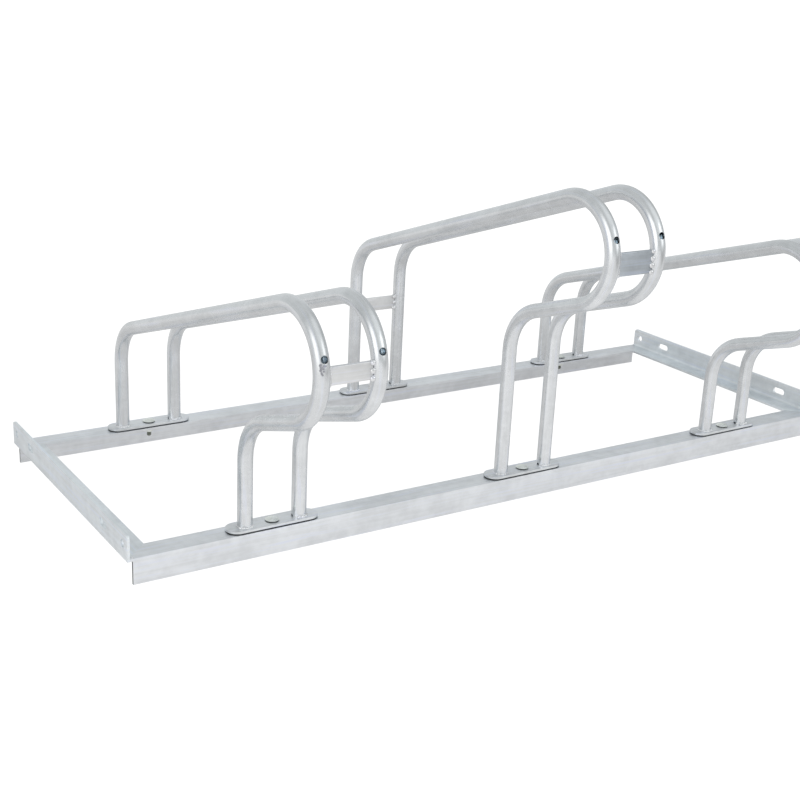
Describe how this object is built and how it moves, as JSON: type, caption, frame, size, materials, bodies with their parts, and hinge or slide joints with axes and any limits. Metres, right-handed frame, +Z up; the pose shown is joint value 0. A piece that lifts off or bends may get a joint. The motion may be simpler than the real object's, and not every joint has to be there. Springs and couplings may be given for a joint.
{
  "type": "floor bike rack",
  "caption": "Floor-standing bike rack: a flat frame of steel angle with bent-tube hoops at low and high places that each hold a front wheel.",
  "frame": {"origin": "middle of the rack's box at floor level", "axes": "+X along the rails to the right, +Y away from the overhanging loops, +Z up"},
  "size_m": [1.05, 0.5411, 0.4031],
  "materials": {
    "galvanised_angle": "satin",
    "galvanised_tube": "satin",
    "galvanised_flat": "satin",
    "zinc_fastener": "satin"
  },
  "bodies": {
    "root": {"front_rail": "galvanised_angle", "rear_rail": "galvanised_angle", "left_end_angle": "galvanised_angle", "right_end_angle": "galvanised_angle", "left_hoop_left_tube": "galvanised_tube", "left_hoop_right_tube": "galvanised_tube", "left_hoop_spreader": "galvanised_flat", "left_hoop_front_plate": "galvanised_flat", "left_hoop_rear_plate": "galvanised_flat", "middle_hoop_left_tube": "galvanised_tube", "middle_hoop_right_tube": "galvanised_tube", "middle_hoop_spreader": "galvanised_flat", "middle_hoop_leg_spreader": "galvanised_flat", "middle_hoop_front_plate": "galvanised_flat", "middle_hoop_rear_plate": "galvanised_flat", "right_hoop_left_tube": "galvanised_tube", "right_hoop_right_tube": "galvanised_tube", "right_hoop_spreader": "galvanised_flat", "right_hoop_front_plate": "galvanised_flat", "right_hoop_rear_plate": "galvanised_flat", "hoop_bolts": "zinc_fastener", "hoop_washers": "zinc_fastener", "hoop_nuts": "zinc_fastener"}
  },
  "joints": []
}
